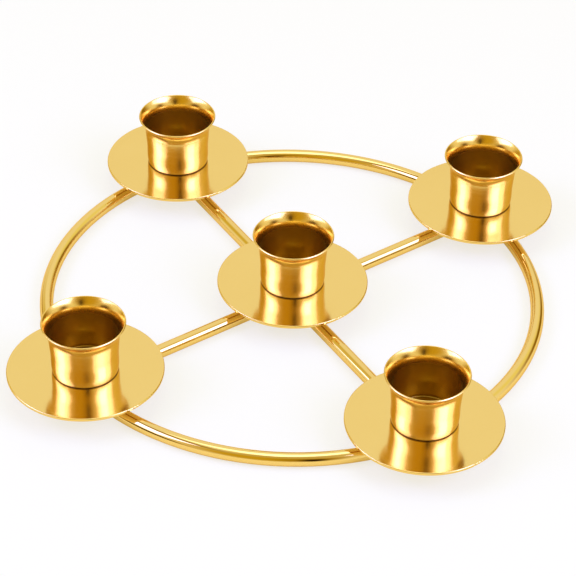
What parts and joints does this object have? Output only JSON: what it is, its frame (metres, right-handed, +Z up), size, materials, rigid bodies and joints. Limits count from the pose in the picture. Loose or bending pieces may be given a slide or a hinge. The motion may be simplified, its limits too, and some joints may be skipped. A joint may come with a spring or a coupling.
{
  "type": "advent candle holder",
  "caption": "Round rod ring with crossing bars carrying flared candle cups on flat drip plates, a table-top advent candle holder in polished gold metal.",
  "frame": {"origin": "centre of the ring, on the table that it lies on", "axes": "+Z up out of the cups, +X along the long bar towards its right end, +Y towards the back half bar"},
  "size_m": [0.2448, 0.244, 0.0316],
  "materials": {
    "rod_gold": "polished, gold plated",
    "filler_gold": "gold plated, slightly rippled",
    "nut_gold": "gold plated",
    "plate_gold": "polished flat sheet, gold plated",
    "cup_gold": "polished drawn sheet, gold plated",
    "screw_gold": "gold plated"
  },
  "bodies": {
    "root": {"candle_cup_back": "cup_gold", "candle_cup_centre": "cup_gold", "candle_cup_front": "cup_gold", "candle_cup_left": "cup_gold", "candle_cup_right": "cup_gold", "cross_fillets_back": "filler_gold", "cross_fillets_front": "filler_gold", "cup_screw_back": "screw_gold", "cup_screw_centre": "screw_gold", "cup_screw_front": "screw_gold", "cup_screw_left": "screw_gold", "cup_screw_right": "screw_gold", "drip_plate_back": "plate_gold", "drip_plate_centre": "plate_gold", "drip_plate_front": "plate_gold", "drip_plate_left": "plate_gold", "drip_plate_right": "plate_gold", "half_bar_back": "rod_gold", "half_bar_front": "rod_gold", "long_bar": "rod_gold", "ring": "rod_gold", "ring_fillets_back": "filler_gold", "ring_fillets_front": "filler_gold", "ring_fillets_left": "filler_gold", "ring_fillets_right": "filler_gold", "weld_nut_back": "nut_gold", "weld_nut_centre": "nut_gold", "weld_nut_front": "nut_gold", "weld_nut_left": "nut_gold", "weld_nut_right": "nut_gold"}
  },
  "joints": []
}
